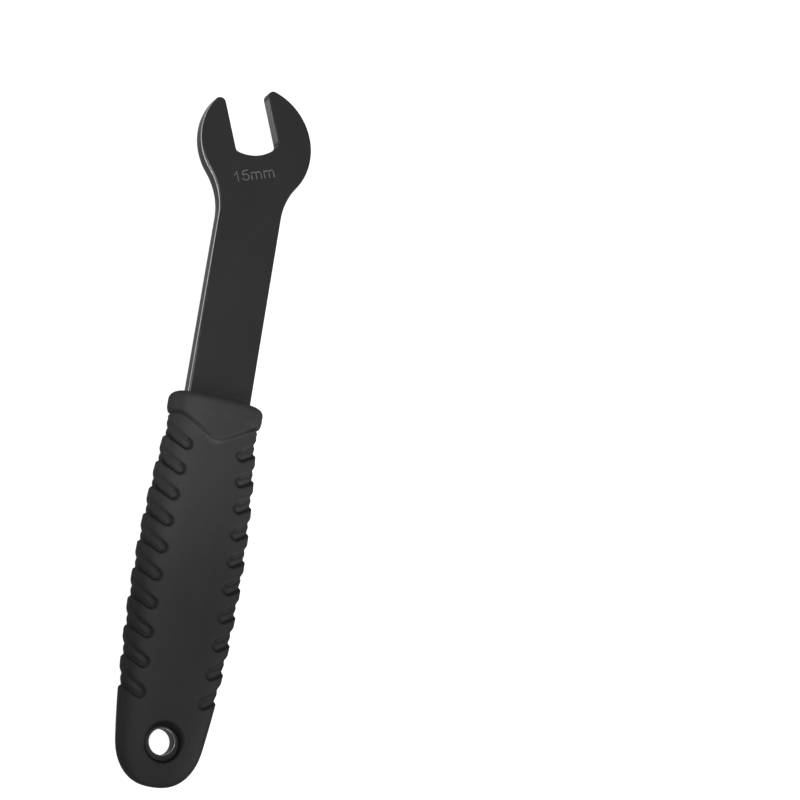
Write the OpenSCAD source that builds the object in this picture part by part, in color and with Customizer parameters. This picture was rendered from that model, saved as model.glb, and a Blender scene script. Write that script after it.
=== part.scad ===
// Pedal wrench: a flat steel open-end wrench with a moulded rubber grip.
// Millimetres. The origin is on the axis of the hang hole, at the middle of
// the plate. X runs along the handle to the jaw, Y across it, Z out of the
// front face.

/* [Steel plate] */
// Thickness of the steel plate
plate_t = 4.9; // [3:0.1:8]
// Width of the shank and of the tang inside the grip
shank_w = 20.9; // [16:0.1:28]
// Radius that softens the outer edges of the plate
plate_edge = 0.7; // [0.2:0.1:1.4]
// Distance from the hang hole to the centre of the head
head_x = 193.1; // [150:0.1:260]
// Sideways offset of the head from the handle line
head_y = 1.9; // [-4:0.1:6]
// Diameter of the hang hole in the plate
hang_d = 7.9; // [5:0.1:9]

/* [Head and jaw] */
// Jaw opening across the flats
jaw_w = 15; // [13:0.1:17]
// Angle between the jaw and the handle
jaw_angle = 22.3; // [0:0.1:30]
// Radius of the two outer lobes of the head
lobe_r = 19.9; // [17:0.1:26]
// Offset of each lobe centre past the jaw centre line
lobe_shift = 1; // [0:0.1:3]
// Radius of the two jaw tips
tip_r = 1.9; // [1:0.1:2.6]
// Distance from the head centre back to the jaw floor
floor_back = 4; // [1:0.1:6]
// Radius of the hollow jaw floor
floor_r = 12.5; // [9:0.1:30]
// Radius in the corners of the jaw floor
corner_r = 1.5; // [0.5:0.1:3]
// Radius of the necks between shank and head
neck_r = 21; // [12:0.5:40]

/* [Grip] */
// Widest half width of the grip
grip_half_w = 17.3; // [15:0.1:22]
// Place of the widest section along the handle
grip_wide_x = 51.5; // [35:0.5:75]
// Radius of the barrel shape seen from the front
grip_plan_r = 376; // [250:1:900]
// Half thickness of the grip at its thickest section
grip_half_t = 7.55; // [6.6:0.05:10]
// Place of the thickest section along the handle
grip_thick_x = 60; // [40:0.5:80]
// Radius of the barrel shape seen from the side
grip_side_r = 682; // [450:1:1500]
// Length of the rounded end behind the hang hole
grip_end = 13.6; // [13:0.1:18]
// Roundness of the grip section, 2 is an ellipse
grip_power = 2.7; // [2.2:0.05:4]

/* [Collar] */
// Position of the grip mouth along the handle
mouth_x = 107.3; // [96:0.1:125]
// Half width of the collar at the mouth
collar_half_w = 15.3; // [14.2:0.1:18]
// Half thickness of the collar at the mouth
collar_half_t = 7.2; // [6.4:0.05:9]
// Radius of the rounded collar edge
collar_round = 2.3; // [1:0.1:4]
// Length of the collar along its sides
collar_len = 6.7; // [5:0.1:12]
// How far the collar point reaches past its sides
collar_point = 6.2; // [2:0.1:8]
// Half width of the collar point where it leaves the straight edge
point_half_w = 12; // [6:0.1:13]

/* [Finger channels] */
// Number of channels down each side
channel_count = 10; // [4:1:10]
// Spacing of the channels along the grip
channel_pitch = 8.67; // [7:0.01:10]
// Place of the first channel, on the line of the widest half width
channel_x = 18.2; // [15:0.1:24]
// Width of a channel
channel_w = 3.4; // [2:0.1:5]
// Width of a channel where it leaves the side of the grip
channel_out_w = 2.7; // [1.6:0.1:5]
// Depth of a channel below the skin of the grip
channel_depth = 0.8; // [0.4:0.05:1.4]
// Reach of a channel in from the side of the grip
channel_reach = 5.5; // [3:0.1:7]
// Slope of a channel across the face
face_slope = 0.57; // [0.2:0.01:0.9]
// Slope of a channel round the shoulder
side_slope = 1.05; // [0.4:0.01:1.4]

/* [Hang hole opening] */
// Offset of the opening along the handle from the hang hole
open_shift = -0.5; // [-0.6:0.1:0.6]
// Radius of the opening in the rubber at the plate
open_r = 5.2; // [5:0.1:6]
// Radius of the opening where its rim starts
rim_r = 6; // [5.6:0.1:7]
// Height of the straight wall of the opening above the plate
open_wall = 0.6; // [0.2:0.1:1.2]

/* [Hidden] */
plate_half = plate_t / 2;
shank_half = shank_w / 2;
jaw_half = jaw_w / 2;
through = 4 * plate_t + 4 * grip_half_t;
edge_steps = 2;
end_steps = 12;
end_angle = 8;
neck_steps = 8;
lobe_steps = 26;
tip_steps = 10;
tip_angle = 5;
hole_sides = 64;
floor_sides = 96;
corner_sides = 32;
section_sides = 40;
body_steps = 18;
turn_steps = 8;
turn_start = 3;
end_power_w = 2.5;
end_power_t = 5;
shoulder_in = 2.2;
channel_sides = 20;
point_blunt = 1.3;
point_steps = 5;
mouth_angle = 15;
mouth_ease = 0.6;
lip_ease = 0.15;
collar_lip = 2.4;
lip_drop = 0.7;
rim_sides = 48;
rim_flare = 0.8;
rim_rise = 0.65;
steel_colour = [0.13, 0.13, 0.14];
rubber_colour = [0.2, 0.2, 0.2];

// Points on an arc around c with radius r from angle a to angle b.
function arc(c, r, a, b, n) = [for (i = [0:n]) let (t = a + (b - a) * i / n) [c[0] + r * cos(t), c[1] + r * sin(t)]];

// A point given along and across the jaw, in the frame of the handle.
function from_jaw(u, v) =
    [head_x + u * cos(jaw_angle) - v * sin(jaw_angle), head_y + u * sin(jaw_angle) + v * cos(jaw_angle)];

// Angle of the line from p to q.
function bearing(p, q) = atan2(q[1] - p[1], q[0] - p[0]);

// Centres of the lobe, tip and neck arcs on side s, 1 for left and -1 for right.
function lobe_centre(s) = from_jaw(0, -s * lobe_shift);
tip_u = sqrt(pow(lobe_r - tip_r, 2) - pow(jaw_half + tip_r + lobe_shift, 2));
function tip_centre(s) = from_jaw(tip_u, s * (jaw_half + tip_r));
function neck_y(s) = s * (shank_half + neck_r);
function neck_centre(s) =
    [lobe_centre(s)[0] - sqrt(pow(lobe_r + neck_r, 2) - pow(neck_y(s) - lobe_centre(s)[1], 2)), neck_y(s)];

// Half outline of the plate on side s, from the handle end to the jaw tip,
// with the jaw still filled and drawn inwards by e.
function side_outline(s, e) = concat(
    arc([0, 0], shank_half - e, 180 - s * end_angle / 2, 180 - s * 90, end_steps),
    arc(neck_centre(s), neck_r + e, -s * 90, bearing(neck_centre(s), lobe_centre(s)), neck_steps),
    arc(lobe_centre(s), lobe_r - e, bearing(lobe_centre(s), neck_centre(s)),
        bearing(lobe_centre(s), tip_centre(s)), lobe_steps),
    arc(tip_centre(s), tip_r - e, bearing(lobe_centre(s), tip_centre(s)) - s * tip_angle,
        jaw_angle - s * (90 - tip_angle), tip_steps));
side_count = end_steps + neck_steps + lobe_steps + tip_steps + 4;
fan_from = side_count - tip_steps - 4;
function plate_outline(e) = concat(side_outline(-1, e), [for (i = [1:side_count]) side_outline(1, e)[side_count - i]]);

// Flat faces that fill a plate outline: rungs along the handle, then the tips.
plate_caps = concat(
    [for (i = [0:fan_from - 1]) [i, i + 1, 2 * side_count - 2 - i, 2 * side_count - 1 - i]],
    [[fan_from, side_count - 1, side_count, 2 * side_count - 1 - fan_from]],
    [[for (i = [fan_from:side_count - 1]) i]],
    [[for (i = [side_count:2 * side_count - 1 - fan_from]) i]]);

// Height and inset of the rings that round the plate edges, bottom to top.
function edge_ring(a) = [plate_half - plate_edge + plate_edge * sin(a), plate_edge * (1 - cos(a))];
plate_rings = concat(
    [for (i = [edge_steps:-1:0]) let (r = edge_ring(90 * i / edge_steps)) [-r[0], r[1]]],
    [for (i = [0:edge_steps]) edge_ring(90 * i / edge_steps)]);

// Closed skin through rings of n points each, with caps over the end rings.
module skin(rings, n, caps) {
    last = len(rings) - 1;
    polyhedron(
        points = [for (r = rings) for (p = r) p],
        faces = concat(
            caps,
            [for (j = [0:last - 1]) for (i = [0:n - 1])
                [j * n + i, (j + 1) * n + i, (j + 1) * n + (i + 1) % n, j * n + (i + 1) % n]],
            [for (c = caps) [for (i = [len(c) - 1:-1:0]) last * n + c[i]]]),
        convexity = 8);
}

// Steel plate with rounded edges, before the jaw and the hole are cut.
module plate_blank() {
    rings = [for (r = plate_rings) [for (p = plate_outline(r[1])) [p[0], p[1], r[0]]]];
    skin(rings, 2 * side_count, plate_caps);
}

// Space of the jaw: parallel flats, hollow floor and rounded corners.
module jaw_space() {
    centre_u = floor_r - floor_back;
    corner_v = jaw_half - corner_r;
    corner_u = centre_u - sqrt(pow(floor_r - corner_r, 2) - pow(corner_v, 2));
    touch_v = corner_v * floor_r / (floor_r - corner_r);
    translate([head_x, head_y, -through / 2]) rotate([0, 0, jaw_angle]) linear_extrude(through) {
        translate([corner_u, -jaw_half]) square([lobe_r + tip_u, jaw_w]);
        for (s = [-1, 1]) translate([corner_u, s * corner_v]) circle(r = corner_r, $fn = corner_sides);
        intersection() {
            translate([centre_u, 0]) circle(r = floor_r, $fn = floor_sides);
            translate([-floor_r, -touch_v]) square([floor_r + corner_u + corner_r, 2 * touch_v]);
        }
    }
}

// Half width and half thickness of the grip at x.
function end_fall(x, power) = x > 0 ? 1 : pow(1 - pow(-x / grip_end, power), 1 / power);
function half_w(x) = (grip_half_w - pow(x - grip_wide_x, 2) / (2 * grip_plan_r)) * end_fall(x, end_power_w);
function half_t(x) = (grip_half_t - pow(x - grip_thick_x, 2) / (2 * grip_side_r)) * end_fall(x, end_power_t);

// Rounded section across the handle at x with half width w and half height h.
function bent(v) = sign(v) * pow(abs(v), 2 / grip_power);
section_caps = [[for (i = [0:section_sides - 1]) i]];
function section(x, w, h) =
    [for (i = [0:section_sides - 1]) let (a = 360 * i / section_sides) [x, w * bent(cos(a)), h * bent(sin(a))]];

// Stations along the grip body, closer together round its end.
body_end = mouth_x - collar_round;
body_x = concat(
    [for (i = [0:turn_steps - 1]) -grip_end * cos(turn_start + (90 - turn_start) * i / turn_steps)],
    [for (i = [0:body_steps]) body_end * i / body_steps]);

// Skin of the grip body drawn inwards by d.
module grip_body(d, stations) {
    skin([for (x = stations) section(x, half_w(x) - d, half_t(x) - d)], section_sides, section_caps);
}

// Collar: fuller section with a rounded mouth and a pointed lower border.
function mouth_fall(x) = let (u = x - mouth_x + collar_round)
    u < 0 ? 0 : collar_round - sqrt(max(0, pow(collar_round, 2) - u * u));
function lip_fall(x) = let (u = mouth_x - collar_len + collar_lip - x)
    u < 0 ? 0 : min(lip_drop, lip_drop * pow(u / collar_lip, 2));
module collar() {
    low = mouth_x - collar_len;
    start = low - collar_point - point_blunt;
    xs = concat([for (i = [0:point_steps]) start + (low - start) * i / point_steps],
        [low + collar_lip / 2, low + collar_lip],
        [for (a = [0:mouth_angle:90]) mouth_x - collar_round + collar_round * sin(a)]);
    intersection() {
        skin([for (x = xs) section(x, collar_half_w - mouth_fall(x) - lip_fall(x),
            collar_half_t - mouth_ease * mouth_fall(x) - lip_ease * lip_fall(x))], section_sides, section_caps);
        linear_extrude(through, center = true) polygon([
            [low, 2 * grip_half_w], [low, point_half_w], [low - collar_point, point_blunt],
            [low - collar_point, -point_blunt], [low, -point_half_w], [low, -2 * grip_half_w],
            [mouth_x + 1, -2 * grip_half_w], [mouth_x + 1, 2 * grip_half_w]]);
    }
}

// Plan shape of one channel on side s, placed at x along the widest line.
module channel_plan(place, s) {
    w = half_w(place);
    x = place - face_slope * (grip_half_w - w);
    r = channel_w / 2;
    out_r = channel_out_w / 2;
    knee = [x - side_slope * shoulder_in, w - shoulder_in];
    inner = [knee[0] - face_slope * (channel_reach - shoulder_in), w - channel_reach];
    outer = [x + side_slope * r, w + r];
    a = atan2(1, face_slope);
    b = atan2(1, side_slope);
    na = r * [sin(a), -cos(a)];
    nb = out_r * [sin(b), -cos(b)];
    nk = (r + out_r) / 2 / cos((a - b) / 2) * [sin((a + b) / 2), -cos((a + b) / 2)];
    scale([1, s]) {
        polygon([inner + na, knee + nk, outer + nb, outer - nb, knee - nk, inner - na]);
        translate(inner) circle(r = r, $fn = channel_sides);
    }
}

// All channels of both sides as upright cutters.
module channels() {
    for (k = [0:channel_count - 1])
        for (s = [-1, 1])
            linear_extrude(through, center = true) channel_plan(channel_x + channel_pitch * k, s);
}

// Opening of the rubber round the hang hole, on both faces.
module hole_opening() {
    wall_z = plate_half + open_wall;
    top_z = half_t(0);
    for (s = [-1, 1]) translate([open_shift, 0, 0]) scale([1, 1, s]) rotate_extrude($fn = rim_sides) polygon([
        [0, 0], [open_r, 0], [open_r, wall_z], [rim_r, top_z - rim_rise],
        [rim_r + rim_flare, top_z], [rim_r + rim_flare, through / 2], [0, through / 2]]);
}

module blade() {
    color(steel_colour) difference() {
        plate_blank();
        jaw_space();
        cylinder(h = through, d = hang_d, center = true, $fn = hole_sides);
    }
}

module grip() {
    color(rubber_colour) difference() {
        union() {
            grip_body(channel_depth, [for (x = body_x) if (x > 0) x]);
            difference() {
                grip_body(0, body_x);
                channels();
            }
            collar();
        }
        plate_blank();
        hole_opening();
    }
}

blade();
grip();
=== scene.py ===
"""Pedal wrench: black coated steel plate, moulded rubber grip and a size mark.

Lengths in the classes are millimetres in the frame of the part: the origin is
on the axis of the hang hole at the middle of the plate, X runs along the
handle to the jaw, Y across it and Z out of the front face.
"""
import logging
import math
from dataclasses import dataclass, field, fields
from enum import Enum

import bpy
import numpy as np
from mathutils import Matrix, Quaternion, Vector
from mathutils.geometry import tessellate_polygon


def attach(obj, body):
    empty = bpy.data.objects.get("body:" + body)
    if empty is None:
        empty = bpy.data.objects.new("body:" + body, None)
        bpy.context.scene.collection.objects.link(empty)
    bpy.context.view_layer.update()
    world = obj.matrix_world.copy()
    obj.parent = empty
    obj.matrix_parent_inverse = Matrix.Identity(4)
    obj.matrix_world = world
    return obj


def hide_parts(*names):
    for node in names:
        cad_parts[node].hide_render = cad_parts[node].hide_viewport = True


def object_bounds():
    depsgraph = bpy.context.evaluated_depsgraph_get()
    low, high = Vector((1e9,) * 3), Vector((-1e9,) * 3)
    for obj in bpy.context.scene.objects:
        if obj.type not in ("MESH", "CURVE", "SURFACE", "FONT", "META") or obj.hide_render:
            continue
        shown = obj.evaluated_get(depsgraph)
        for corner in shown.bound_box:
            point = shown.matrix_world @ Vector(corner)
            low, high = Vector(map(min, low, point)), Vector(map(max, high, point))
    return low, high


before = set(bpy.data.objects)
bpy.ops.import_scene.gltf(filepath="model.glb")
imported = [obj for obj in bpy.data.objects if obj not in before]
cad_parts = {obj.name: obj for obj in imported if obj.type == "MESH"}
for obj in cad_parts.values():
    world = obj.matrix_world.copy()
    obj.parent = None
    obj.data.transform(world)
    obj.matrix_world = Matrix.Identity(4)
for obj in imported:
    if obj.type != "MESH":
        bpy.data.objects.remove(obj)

LOG = logging.getLogger("pedal_wrench")
MM = 0.001
CAD_BOX = [list(corner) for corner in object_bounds()]


class Side(Enum):
    """The two long sides of the wrench, seen from its front."""

    LEFT = 1
    RIGHT = -1


class Face(Enum):
    """The two flat faces of the wrench."""

    FRONT = 1
    BACK = -1


# --------------------------------------------------------------- mesh tools


@dataclass
class Shell:
    """Collects blocks of points and faces, then welds them to one mesh."""

    points: list[np.ndarray] = field(default_factory=list)
    faces: list[np.ndarray] = field(default_factory=list)
    values: list[np.ndarray] = field(default_factory=list)
    count: int = 0

    def add(self, points: np.ndarray, faces: list[np.ndarray], value: np.ndarray | float = 0.0) -> None:
        """Adds a block.

        Args:
            points: N rows of x, y, z in millimetres.
            faces: arrays of corner indices into points, one array per corner count.
            value: a number per point, or one for all, kept as the mesh's "mask".
        """
        self.points.append(points.reshape(-1, 3))
        self.faces.extend(block + self.count for block in faces if len(block))
        self.values.append(np.broadcast_to(value, len(self.points[-1])).astype(float))
        self.count += len(self.points[-1])

    def build(self, name: str, flat_angle: float = 40.0) -> bpy.types.Object:
        """Welds equal points, drops collapsed faces and makes the object.

        Points that lie a few microns outside the part's box are moved onto it.

        Args:
            name: name of the new object.
            flat_angle: edges sharper than this many degrees stay crisp.

        Returns:
            The object, with its place in its mesh.
        """
        points = np.clip(np.concatenate(self.points), *(np.array(CAD_BOX) / MM))
        values = np.concatenate(self.values)
        keys = np.round(points / 1e-5).astype(np.int64)
        _, first, back = np.unique(keys, axis=0, return_index=True, return_inverse=True)
        back = back.reshape(-1)
        corners, totals = [], []
        for block in self.faces:
            block = back[block]
            following = np.roll(block, -1, axis=1)
            keep = block != following
            whole = keep.all(axis=1)
            corners.append(block[whole].reshape(-1))
            totals.append(np.full(int(whole.sum()), block.shape[1]))
            if block.shape[1] == 4:
                three = keep.sum(axis=1) == 3
                corners.append(block[three][keep[three]])
                totals.append(np.full(int(three.sum()), 3))
        corner = np.concatenate(corners)
        total = np.concatenate(totals)
        mesh = bpy.data.meshes.new(name)
        mesh.vertices.add(len(first))
        mesh.vertices.foreach_set("co", (points[first] * MM).astype(np.float32).reshape(-1))
        mesh.loops.add(len(corner))
        mesh.loops.foreach_set("vertex_index", corner.astype(np.int32))
        mesh.polygons.add(len(total))
        mesh.polygons.foreach_set("loop_start", (np.cumsum(total) - total).astype(np.int32))
        mesh.update(calc_edges=True)
        mesh.validate()
        mask = mesh.attributes.new("mask", "FLOAT", "POINT")
        mask.data.foreach_set("value", values[first].astype(np.float32))
        mesh.shade_smooth()
        mesh.set_sharp_from_angle(angle=math.radians(flat_angle))
        made = bpy.data.objects.new(name, mesh)
        bpy.context.scene.collection.objects.link(made)
        LOG.info("%s: %d points, %d faces", name, len(first), len(total))
        return made


def grid_faces(rows: int, columns: int, closed: bool = True) -> np.ndarray:
    """Corner indices of the quads of a grid of points.

    Quad (i, j) joins row i to row i + 1 and column j to column j + 1, and the
    last column meets the first one where the grid is closed.

    Args:
        rows: number of rows of points.
        columns: number of points in a row.
        closed: whether the columns run all the way round.

    Returns:
        An array of four corners per quad.
    """
    i, j = np.meshgrid(np.arange(rows - 1), np.arange(columns if closed else columns - 1), indexing="ij")
    k = (j + 1) % columns
    quads = np.stack([i * columns + j, (i + 1) * columns + j, (i + 1) * columns + k, i * columns + k], -1)
    return quads.reshape(-1, 4)


def soft_step(x: np.ndarray) -> np.ndarray:
    """Rises from 0 to 1 as x does, with level ends: three x squared less two x cubed."""
    t = np.clip(x, 0.0, 1.0)
    return t * t * (3.0 - 2.0 * t)


def arc(centre: np.ndarray, radius: float, start: float, end: float, steps: int, hollow: bool = False
        ) -> tuple[np.ndarray, np.ndarray]:
    """Points on a circle and the directions that leave the metal there.

    Point t lies at the centre plus the radius times (cos t, sin t).

    Args:
        centre: centre of the circle.
        radius: its radius.
        start: first angle in degrees.
        end: last angle in degrees.
        steps: number of points.
        hollow: whether the metal lies outside the circle.

    Returns:
        The points and the outward directions, two columns each.
    """
    turn = np.radians(np.linspace(start, end, steps))
    out = np.stack([np.cos(turn), np.sin(turn)], -1)
    return centre + radius * out, -out if hollow else out


def bearing(start: np.ndarray, end: np.ndarray) -> float:
    """Angle in degrees of the line from start to end."""
    return math.degrees(math.atan2(end[1] - start[1], end[0] - start[0]))


# ---------------------------------------------------------------- materials


def new_group(name: str, inputs: dict[str, float], outputs: dict[str, str]) -> bpy.types.NodeTree:
    """Makes an empty shader node group.

    Args:
        name: name of the group.
        inputs: number inputs with their defaults; a vector input named
            "Position" always comes first.
        outputs: output names with their socket types.

    Returns:
        The group, with its input and output nodes inside.
    """
    group = bpy.data.node_groups.new(name, "ShaderNodeTree")
    group.interface.new_socket("Position", in_out="INPUT", socket_type="NodeSocketVector")
    for label, value in inputs.items():
        socket = group.interface.new_socket(label, in_out="INPUT", socket_type="NodeSocketFloat")
        socket.default_value = value
    for label, kind in outputs.items():
        group.interface.new_socket(label, in_out="OUTPUT", socket_type=kind)
    group.nodes.new("NodeGroupInput")
    group.nodes.new("NodeGroupOutput")
    return group


def ends(group: bpy.types.NodeTree) -> tuple[bpy.types.Node, bpy.types.Node]:
    """The input and the output node of a group."""
    return group.nodes["Group Input"], group.nodes["Group Output"]


def math_node(tree: bpy.types.NodeTree, kind: str, *sources: bpy.types.NodeSocket | float) -> bpy.types.NodeSocket:
    """Adds a Math node.

    Args:
        tree: the tree that gets the node.
        kind: the operation.
        sources: sockets or numbers for its inputs, in order.

    Returns:
        The node's output socket.
    """
    node = tree.nodes.new("ShaderNodeMath")
    node.operation = kind
    for place, source in enumerate(sources):
        if isinstance(source, bpy.types.NodeSocket):
            tree.links.new(source, node.inputs[place])
        else:
            node.inputs[place].default_value = source
    return node.outputs[0]


def noise_node(tree: bpy.types.NodeTree, position: bpy.types.NodeSocket, scale: bpy.types.NodeSocket | float,
               detail: float, roughness: float = 0.55) -> bpy.types.NodeSocket:
    """Adds a Noise Texture and gives its value socket.

    Args:
        tree: the tree that gets the node.
        position: where the pattern is read.
        scale: size of the pattern, as a socket or a number.
        detail: number of octaves.
        roughness: weight of the finer octaves.

    Returns:
        The socket with the noise value.
    """
    node = tree.nodes.new("ShaderNodeTexNoise")
    node.inputs["Detail"].default_value = detail
    node.inputs["Roughness"].default_value = roughness
    tree.links.new(position, node.inputs["Vector"])
    if isinstance(scale, bpy.types.NodeSocket):
        tree.links.new(scale, node.inputs["Scale"])
    else:
        node.inputs["Scale"].default_value = scale
    return node.outputs[0]


def make_mottle() -> bpy.types.NodeTree:
    """Cloudy tone: broad noise plus a share of fine noise, centred on zero.

    Returns:
        The group, with a Tone output of about -1 to 1 times Strength.
    """
    group = new_group("cloudy_tone", {"Broad": 90.0, "Fine": 900.0, "Share": 0.35, "Strength": 1.0},
                      {"Tone": "NodeSocketFloat"})
    start, end = ends(group)
    broad = noise_node(group, start.outputs["Position"], start.outputs["Broad"], 3.0)
    fine = noise_node(group, start.outputs["Position"], start.outputs["Fine"], 4.0)
    mixed = math_node(group, "MULTIPLY_ADD", math_node(group, "SUBTRACT", fine, 0.5), start.outputs["Share"],
                      math_node(group, "SUBTRACT", broad, 0.5))
    group.links.new(math_node(group, "MULTIPLY", mixed, start.outputs["Strength"]), end.inputs["Tone"])
    return group


def make_grain() -> bpy.types.NodeTree:
    """Surface grain: fine noise over small pits where a cell pattern dips.

    Returns:
        The group, with a Height output from 0 to 1.
    """
    group = new_group("surface_grain", {"Scale": 2500.0, "Pits": 0.4}, {"Height": "NodeSocketFloat"})
    start, end = ends(group)
    fine = noise_node(group, start.outputs["Position"], start.outputs["Scale"], 5.0, 0.65)
    cells = group.nodes.new("ShaderNodeTexVoronoi")
    group.links.new(start.outputs["Position"], cells.inputs["Vector"])
    group.links.new(math_node(group, "MULTIPLY", start.outputs["Scale"], 0.6), cells.inputs["Scale"])
    pit = math_node(group, "MULTIPLY", cells.outputs["Distance"], start.outputs["Pits"])
    group.links.new(math_node(group, "ADD", fine, pit), end.inputs["Height"])
    return group


def make_noisy_mask() -> bpy.types.NodeTree:
    """Noisy mask for edge wear, painted shade and painted highlight: the piece's own mask, thinned by noise.

    Returns:
        The group, with a Wear output of the mask times one less Breaks times
        the noise, times Amount.
    """
    group = new_group("noisy_mask", {"Mask": 0.0, "Scale": 400.0, "Breaks": 0.5, "Amount": 0.5},
                      {"Masked": "NodeSocketFloat"})
    start, end = ends(group)
    noise = noise_node(group, start.outputs["Position"], start.outputs["Scale"], 4.0)
    thinned = math_node(group, "MULTIPLY", noise, start.outputs["Breaks"])
    broken = math_node(group, "SUBTRACT", 1.0, thinned)
    worn = math_node(group, "MULTIPLY", math_node(group, "MULTIPLY", start.outputs["Mask"], broken),
                     start.outputs["Amount"])
    group.links.new(worn, end.inputs["Masked"])
    return group


@dataclass
class Effects:
    """Shader node groups that more than one finish uses."""

    mottle: bpy.types.NodeTree = field(default_factory=make_mottle)
    grain: bpy.types.NodeTree = field(default_factory=make_grain)
    # mask thinned by noise, used for wear, painted shade and painted highlight
    wear: bpy.types.NodeTree = field(default_factory=make_noisy_mask)


@dataclass
class Dresser:
    """Builds one material step by step on its node tree."""

    name: str
    effects: Effects

    def __post_init__(self) -> None:
        """Makes the material with a Principled BSDF and object coordinates."""
        self.material = bpy.data.materials.new(self.name)
        self.material.use_nodes = True
        self.tree = self.material.node_tree
        self.shader = self.tree.nodes["Principled BSDF"]
        self.position = self.tree.nodes.new("ShaderNodeTexCoord").outputs["Object"]
        mask = self.tree.nodes.new("ShaderNodeAttribute")
        mask.attribute_name = "mask"
        self.mask = mask.outputs["Fac"]

    def place(self, group: bpy.types.NodeTree, **values: float) -> bpy.types.Node:
        """Places a shared group, fed with the object position.

        Args:
            group: the node group.
            values: numbers for its inputs, by input name.

        Returns:
            The group node.
        """
        node = self.tree.nodes.new("ShaderNodeGroup")
        node.node_tree = group
        self.tree.links.new(self.position, node.inputs["Position"])
        for label, value in values.items():
            node.inputs[label].default_value = value
        return node

    def tint(self, amount: bpy.types.NodeSocket, dark: tuple[float, ...], light: tuple[float, ...],
             before: bpy.types.NodeSocket | None = None) -> bpy.types.NodeSocket:
        """Mixes two colours, or a colour over an earlier result.

        Args:
            amount: socket with the mix, 0 to 1.
            dark: colour at 0, unless before is given.
            light: colour at 1.
            before: socket that stands for the colour at 0.

        Returns:
            The socket with the mixed colour.
        """
        mix = self.tree.nodes.new("ShaderNodeMix")
        mix.data_type = "RGBA"
        mix.inputs[6].default_value = (*dark, 1.0)
        mix.inputs[7].default_value = (*light, 1.0)
        self.tree.links.new(amount, mix.inputs[0])
        if before is not None:
            self.tree.links.new(before, mix.inputs[6])
        return mix.outputs[2]

    def rough(self, tone: bpy.types.NodeSocket, level: float, spread: float,
              worn: bpy.types.NodeSocket | None = None, gain: float = 0.0) -> None:
        """Sets the roughness to level plus spread times the tone.

        Args:
            tone: socket with the cloudy tone.
            level: roughness where the tone is zero.
            spread: how far the tone moves the roughness.
            worn: socket with the wear, where there is some.
            gain: how far full wear raises the roughness.
        """
        value = math_node(self.tree, "MULTIPLY_ADD", tone, spread, level)
        if worn is not None:
            value = math_node(self.tree, "MULTIPLY_ADD", worn, gain, value)
        self.tree.links.new(value, self.shader.inputs["Roughness"])

    def along(self, start: float, end: float) -> bpy.types.NodeSocket:
        """Rises from 0 to 1 along the handle, smoothly.

        Args:
            start: X in metres where the rise starts.
            end: X in metres where it ends.

        Returns:
            The socket with the rise.
        """
        parts = self.tree.nodes.new("ShaderNodeSeparateXYZ")
        self.tree.links.new(self.position, parts.inputs[0])
        rise = self.tree.nodes.new("ShaderNodeMapRange")
        rise.interpolation_type = "SMOOTHSTEP"
        self.tree.links.new(parts.outputs["X"], rise.inputs["Value"])
        rise.inputs["From Min"].default_value = start
        rise.inputs["From Max"].default_value = end
        return rise.outputs["Result"]

    def bump(self, height: bpy.types.NodeSocket, strength: float, distance: float) -> None:
        """Feeds a height through a Bump node to the shader's normal.

        Args:
            height: socket with the height.
            strength: strength of the bump.
            distance: depth of the bump in metres.
        """
        node = self.tree.nodes.new("ShaderNodeBump")
        node.inputs["Strength"].default_value = strength
        node.inputs["Distance"].default_value = distance
        self.tree.links.new(height, node.inputs["Height"])
        self.tree.links.new(node.outputs["Normal"], self.shader.inputs["Normal"])


@dataclass(frozen=True)
class CoatedSteel:
    """Satin black coating on steel, with a pale metallic band on the edge roundings, hole rim and jaw walls that is
    partly worn bare metal and partly a painted highlight.
    """

    dark: tuple[float, ...] = (0.019, 0.019, 0.0193)
    light: tuple[float, ...] = (0.025, 0.025, 0.0253)
    rubbed_highlight: tuple[float, ...] = (0.85, 0.85, 0.86)
    roughness: float = 0.16
    rubbed_highlight_gain: float = -0.05

    def material(self, effects: Effects) -> bpy.types.Material:
        """Makes the finish."""
        dress = Dresser("black_coated_steel", effects)
        tree = dress.tree
        tone = dress.place(effects.mottle, Broad=60.0, Fine=1400.0, Share=0.5, Strength=1.0).outputs["Tone"]
        level = math_node(tree, "ADD", tone, 0.5)
        # the mask brightens the edge roundings, hole rim and jaw walls: partly worn bare metal, partly a painted
        # highlight
        wear = dress.place(effects.wear, Scale=350.0, Breaks=0.3, Amount=0.9)
        tree.links.new(dress.mask, wear.inputs["Mask"])
        worn = wear.outputs["Masked"]
        base = dress.tint(level, self.dark, self.light)
        tree.links.new(dress.tint(worn, self.dark, self.rubbed_highlight, base), dress.shader.inputs["Base Color"])
        tree.links.new(worn, dress.shader.inputs["Metallic"])
        dress.rough(tone, self.roughness, 0.04, worn, self.rubbed_highlight_gain)
        dress.shader.inputs["Specular IOR Level"].default_value = 0.35
        dress.bump(dress.place(effects.grain, Scale=3200.0, Pits=0.3).outputs["Height"], 0.12, 0.00005)
        return dress.material


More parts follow.
